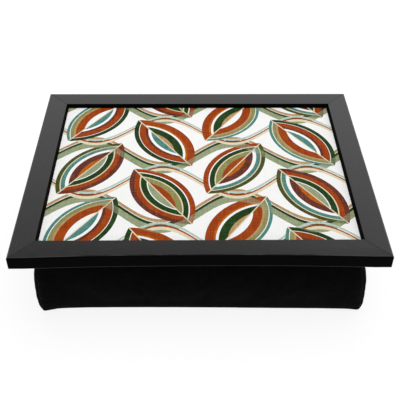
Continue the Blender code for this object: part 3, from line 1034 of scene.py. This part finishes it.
def sharpen_edges(verts, rim_reach, corner_reach):
    """Put rims and corners back on the measured outline."""
    for vert in verts:
        at_rim = held(min(vert.co.z, FRAME_UNDER - vert.co.z), RIM_HOLD, rim_reach)
        at_corner = held(seam_place(vert.co)[0], CORNER_HOLD, corner_reach)
        on_wall = soft_step((FLAT_NORMAL - abs(vert.normal.z)) / FLAT_BLEND)
        share = on_wall * (1 - (1 - at_rim) * (1 - at_corner))
        if share > 0:
            spot, scale = outline_spot(vert.co)
            if scale > RIM_START:
                vert.co = vert.co.lerp(spot, share)


sharpen_edges(cushion_form.data.vertices, *FORM_REACH)
print("corners and rims are back on their outline")

# %% [markdown]
# ## From the blown form to a sewn cover
# The blown form has no seams yet, because the remesh would have rubbed them out. The cover is cut
# from its lower part, subdivided once, and made finer beside the seams. There the doubled cloth
# pulls in a groove, small puckers run off to both sides, and the base's corners are drawn out to
# points.

# %% How the seams shape the cloth
NECK_CUT = FRAME_UNDER - 2 * TOUCH_GAP
NECK_BLEND = 0.010
FINE_REACH = 0.0065
BASE_SEAM_HEIGHT = 0.0022
GROOVE_DEPTH, GROOVE_HALF_WIDTH = 0.0010, 0.0020
BASE_GROOVE_DEPTH, BASE_GROOVE_HALF_WIDTH = 0.0007, 0.0012
PUCKER_DEPTH, PUCKER_PITCH, PUCKER_REACH = 0.00022, 0.0125, 0.013
WANDER, WANDER_SCALE = 4, 30
LUMP_DEPTH, LUMP_PITCH = 0.0006, 0.024
EAR_REACH = 0.014
EAR_IN = 0.0002
DOWNWARDS = -0.9
UNDERSIDE, UNDERSIDE_BLEND = 0.85, 0.5


def bell(away, half_width):
    """1 on a seam, falling off to both sides."""
    return math.exp(-((away / half_width) ** 2))


def sewn_depth(vert):
    """How far seams, puckers and beads move the cloth in or out at a vertex."""
    point, normal = vert.co, vert.normal
    away, along = seam_place(point)
    side = 1 if abs(normal.x) > abs(normal.y) else -1
    wander = WANDER * noise.noise(point * WANDER_SCALE)
    pucker = math.sin(2 * math.pi * along / PUCKER_PITCH + side + wander)
    pucker *= PUCKER_DEPTH * bell(away - PUCKER_REACH / 3, PUCKER_REACH / 2)
    groove = GROOVE_DEPTH * bell(away, GROOVE_HALF_WIDTH)
    groove += BASE_GROOVE_DEPTH * bell(point.z - BASE_SEAM_HEIGHT, BASE_GROOVE_HALF_WIDTH)
    lump = LUMP_DEPTH * noise.noise(point / LUMP_PITCH)
    on_wall = soft_step((normal.z + UNDERSIDE) / UNDERSIDE_BLEND)
    below_neck = soft_step((NECK_CUT - point.z) / NECK_BLEND)
    return on_wall * below_neck * (pucker + lump - groove)


def near_seam(edge):
    """Whether an edge lies close to a corner seam or to the base seam."""
    middle = (edge.verts[0].co + edge.verts[1].co) / 2
    at_rim = abs(middle.z - BASE_SEAM_HEIGHT) < FINE_REACH / 2
    on_wall = edge.verts[0].normal.z > DOWNWARDS
    return at_rim and on_wall or seam_place(middle)[0] < FINE_REACH


def draw_out_ears(bm):
    """Pull the base's four corners out to points."""
    low = [vert for vert in bm.verts if vert.co.z < EAR_REACH]
    for corner in CORNERS:
        tip = cushion_point(*corner, 1.0) - Vector((*corner, 0.0)) * EAR_IN
        tip.z = BASE_SEAM_HEIGHT / 2
        start = min(low, key=lambda vert: (vert.co - tip).length).co.copy()
        for vert in low:
            away = (vert.co - start).length
            if away < EAR_REACH:
                vert.co += (tip - start) * (1 - away / EAR_REACH) ** 2


print("grooves", mm(GROOVE_DEPTH), "mm deep, puckers every", mm(PUCKER_PITCH), "mm")

# %% [markdown]
# Inside the frame the cloth goes straight up, turns over the cushion's board and ends in a stapled
# hem. The cut edge is extruded up and then inwards for that, and Solidify gives the skin its
# thickness. Each vertex notes its distance from the corner seams, which the finish darkens.

# %% Sew the cover
def lower_skin(form):
    """The part of the blown form below the rails, subdivided once."""
    bm = bmesh.new()
    bm.from_mesh(form.data)
    cut_away(bm, (0.0, 0.0, NECK_CUT), (0.0, 0.0, 1.0))
    skin = put_mesh("cushion_cover", bm)
    subdivide = skin.modifiers.new("subdivide", "SUBSURF")
    subdivide.levels = subdivide.render_levels = 1
    apply_modifiers(skin)
    return skin


def sew(bm):
    """Grooves, puckers, lumps and ears, and the noted crease."""
    bm.normal_update()
    sharpen_edges(bm.verts, *COVER_REACH)
    fine = [edge for edge in bm.edges if near_seam(edge)]
    bmesh.ops.subdivide_edges(bm, edges=fine, cuts=1, use_grid_fill=True)
    bm.normal_update()
    crease = bm.verts.layers.float.new("seam_away")
    for vert in bm.verts:
        vert[crease] = min(FINE_REACH, seam_place(vert.co)[0])
    grow(bm, sewn_depth)
    draw_out_ears(bm)
    for vert in bm.verts:
        vert.co.z = min(NECK_CUT, max(0.0, vert.co.z))


def extrude_rim(bm, rim):
    """Extrude a rim of edges and give back the new rim and its vertices."""
    grown = only(bmesh.types.BMEdge, bmesh.ops.extrude_edge_only(bm, edges=rim)["geom"])
    new_rim = [edge for edge in grown if edge.is_boundary]
    return new_rim, list({vert for edge in new_rim for vert in edge.verts})


def add_hem(bm):
    """The cloth inside the frame: straight up, and in over the board."""
    rim = [edge for edge in bm.edges if edge.is_boundary]
    for vert in {vert for edge in rim for vert in edge.verts}:
        vert.co = outline_spot(Vector((*vert.co.xy, FRAME_UNDER)))[0]
        vert.co.z = NECK_CUT
    rim, verts = extrude_rim(bm, rim)
    bmesh.ops.translate(bm, verts=verts, vec=(0.0, 0.0, COVER_TOP - NECK_CUT))
    rim, verts = extrude_rim(bm, rim)
    inwards = (1 - HEM_WIDTH / NECK.x, 1 - HEM_WIDTH / NECK.y, 1.0)
    bmesh.ops.scale(bm, verts=verts, vec=inwards)


def make_cover(form):
    """The cushion's cover, closed, with its cloth's thickness."""
    cover = lower_skin(form)
    bm = bmesh.new()
    bm.from_mesh(cover.data)
    sew(bm)
    add_hem(bm)
    bmesh.ops.recalc_face_normals(bm, faces=bm.faces)
    bm.to_mesh(cover.data)
    bm.free()
    wall = cover.modifiers.new("cloth_thickness", "SOLIDIFY")
    wall.thickness = CLOTH_THICKNESS
    wall.offset = -1.0
    apply_modifiers(cover)
    return cover


cover = make_cover(cushion_form)
print("cover:", len(cover.data.polygons), "faces")

# %% [markdown]
# The beads fill the cover as one body: the same blown form, drawn in by a little more than the
# cloth's thickness, with its top flat beneath the board.

# %% Beads
FILL_INSET = 0.0021
FILL_UNDER, FILL_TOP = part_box("bead_filling")[0].z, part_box("bead_filling")[1].z
FILL_SHOULDER = 0.088
SHOULDER_INSET = 0.0014
SHOULDER_REACH = 0.012
GROOVE_CLEARANCE = 0.006


def fill_inset(vert):
    """How far the beads lie inside the blown form, as a negative distance."""
    at_seam = GROOVE_DEPTH * bell(seam_place(vert.co)[0], GROOVE_CLEARANCE)
    at_shoulder = soft_step((vert.co.z - FILL_SHOULDER + SHOULDER_REACH) / SHOULDER_REACH)
    return -(FILL_INSET + at_seam + SHOULDER_INSET * at_shoulder)


def make_filling(form):
    """The beads' body, inside the cover."""
    bm = bmesh.new()
    bm.from_mesh(form.data)
    bm.normal_update()
    grow(bm, fill_inset)
    top = max(vert.co.z for vert in bm.verts)
    stretch = (FILL_TOP - FILL_SHOULDER) / (top - FILL_SHOULDER)
    for vert in bm.verts:
        if vert.co.z > FILL_SHOULDER:
            vert.co.z = FILL_SHOULDER + (vert.co.z - FILL_SHOULDER) * stretch
        vert.co.z = max(FILL_UNDER, vert.co.z)
    return bm


filling_bm = make_filling(cushion_form)
bpy.data.objects.remove(cushion_form, do_unlink=True)
print("filling:", len(filling_bm.faces), "faces")

# %% [markdown]
# The cloth is brushed and black. Its short nap swallows nearly all light, with small blotches
# where it lies another way. Towards the frame its colour is darkened as painted shade under the
# frame, and the crease of each seam is darker too, because light doesn't reach into it.

# %% Black cloth
PANELS = [side + "_cushion_panel" for side in (*SIDES, "base")]
CREASE_HALF_WIDTH = 0.0022
UNDER_FRAME_SHADE_HEIGHT = (0.030, 0.095)
UNDER_FRAME_SHADE_MIX = 0.6
NAP_SCALE, STROKE_SCALE, BLOTCH_SCALE = 1500.0, 150.0, 22.0
NAP_RELIEF = 0.00030
BEAD_SCALE = 330.0
BEAD_RELIEF = 0.0012
BEAD_SHARP_ANGLE = 60.0


def crease_shade(finish, height):
    """1 on open cloth, less in the corner seams and in the seam round the base."""
    away = finish.node("ShaderNodeAttribute", {"attribute_name": "seam_away"}, out=2)
    rim = abs(height - BASE_SEAM_HEIGHT)
    nearest = away.math("MINIMUM", rim + CREASE_HALF_WIDTH * 0.4)
    return finish.smooth(nearest, 0.0, CREASE_HALF_WIDTH)


def cloth_finish():
    """Black brushed cloth."""
    finish = Finish("black_brushed_cloth")
    point = finish.point()
    height = finish.split(point)[2]
    nap = finish.noise(point, NAP_SCALE, detail=3.0, roughness=0.6)
    stroke = finish.noise(point, STROKE_SCALE, detail=4.0, roughness=0.6)
    tone = stroke * 0.65 + finish.noise(point, BLOTCH_SCALE) * 0.35
    black = shade(1, 1, 1)
    colour = finish.blend(finish.smooth(tone, 0.32, 0.70), shade(3, 3, 3), shade(12, 11, 11))
    # Painted shade: the cloth is darkened towards the frame, under its overhang.
    under_frame_shade = finish.smooth(height, *UNDER_FRAME_SHADE_HEIGHT) * UNDER_FRAME_SHADE_MIX
    colour = finish.blend(under_frame_shade, colour, black)
    colour = finish.blend(crease_shade(finish, height), black, colour)
    return finish.done(finish.surface(
        colour, 0.86 + nap * 0.12, nap * 0.4 + stroke * 0.6, NAP_RELIEF,
        Specular_IOR_Level=0.05, Sheen_Weight=0.01, Sheen_Roughness=0.5,
    ))


def bead_finish():
    """Packed white beads of about 3 mm."""
    finish = Finish("white_beads")
    values = {"Vector": finish.point(), "Scale": BEAD_SCALE}
    cells = finish.node("ShaderNodeTexVoronoi", values=values)
    # Painted shade between the beads: each cell is darker towards its edge; the same dome is the bump.
    dome_and_shade = finish.smooth(1 - cells * 1.4, 0.0, 1.0)
    colour = finish.blend(dome_and_shade, shade(176, 176, 172), shade(240, 240, 236))
    return finish.done(finish.surface(colour, 0.65, dome_and_shade, BEAD_RELIEF))


cover.data.materials.append(cloth_finish())
cover.data.shade_smooth()
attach(cover, BODY)
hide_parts(*PANELS)
filling = add_piece(
    "bead_fill", filling_bm, bead_finish(), ["bead_filling"], BEAD_SHARP_ANGLE
)
print("cushion pieces:", cover.name, filling.name)

# %% [markdown]
# ## What is hidden inside
# Boards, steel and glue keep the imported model's shapes, because a board is a box and a staple is a
# bent wire. They only need finishes: short specks for pressed fibres, and long fine scratches for
# drawn steel.

# %% Boards, steel and glue
SPECK_SCALE, CLOUDY_SCALE, FIBRE_RELIEF = 700.0, 18.0, 0.00008
SCRATCH_SCALE, SCRATCH_RUN, SCRATCH_RELIEF = 2500.0, 60.0, 0.00002
STAIN_SCALE = 220.0
BUBBLE_SCALE, HAZE_SCALE, BUBBLE_RELIEF = 900.0, 90.0, 0.00006


def board_finish(name, dark, light, roughness):
    """Pressed wood fibre with fine specks."""
    finish = Finish(name)
    point = finish.point()
    specks = finish.noise(point, SPECK_SCALE, detail=4.0, roughness=0.7)
    cloud = finish.noise(point, CLOUDY_SCALE, detail=3.0)
    tone = finish.smooth(specks * 0.7 + cloud * 0.3, 0.3, 0.7)
    colour = finish.blend(tone, dark, light)
    return finish.done(finish.surface(colour, roughness + tone * 0.1, specks, FIBRE_RELIEF))


def steel_finish():
    """Bright steel with fine scratches along and across."""
    finish = Finish("bright_steel")
    x, y, z = finish.split(finish.point())
    drawn = finish.vector(x * SCRATCH_SCALE, y * SCRATCH_SCALE, z * SCRATCH_RUN)
    scratches = finish.noise(drawn, 1.0)
    stain = finish.noise(finish.point(), STAIN_SCALE, detail=3.0)
    colour = finish.blend(stain, shade(168, 168, 170), shade(206, 206, 208))
    roughness = 0.24 + scratches * 0.2
    return finish.done(
        finish.surface(colour, roughness, scratches, SCRATCH_RELIEF, Metallic=1.0)
    )


def glue_finish():
    """Milky hot glue with small bubbles."""
    finish = Finish("hot_glue")
    values = {"Vector": finish.point(), "Scale": BUBBLE_SCALE}
    bubbles = finish.node("ShaderNodeTexVoronoi", values=values)
    haze = finish.noise(finish.point(), HAZE_SCALE, detail=3.0)
    colour = finish.blend(haze, shade(214, 204, 176), shade(238, 232, 214))
    return finish.done(finish.surface(colour, 0.28 + haze * 0.2, bubbles, BUBBLE_RELIEF))


fibreboard = board_finish("fibreboard", shade(140, 108, 74), shade(186, 154, 114), 0.7)
hardboard = board_finish("hardboard", shade(84, 56, 34), shade(124, 88, 58), 0.55)
steel, glue = steel_finish(), glue_finish()
HIDDEN = {"tray_board": fibreboard, "cushion_board": hardboard, "glue_bead": glue}
HIDDEN.update({kind: steel for kind in ("_point_", "_staple_", "v_nail")})
for name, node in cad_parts.items():
    for kind, material in HIDDEN.items():
        if kind in name:
            repaint(node, material)
print("hidden pieces finished:", ", ".join(HIDDEN))

# %% [markdown]
# ## The size
# The imported model's box and the finished tray's box are both gathered, and the finished tray's is
# printed.

# %% Size and finish
visual_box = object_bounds()
boxes = {"cad": [list(corner) for corner in cad_box], "visual": [list(corner) for corner in visual_box]}
print("size", [[mm(value) for value in corner] for corner in boxes["visual"]])
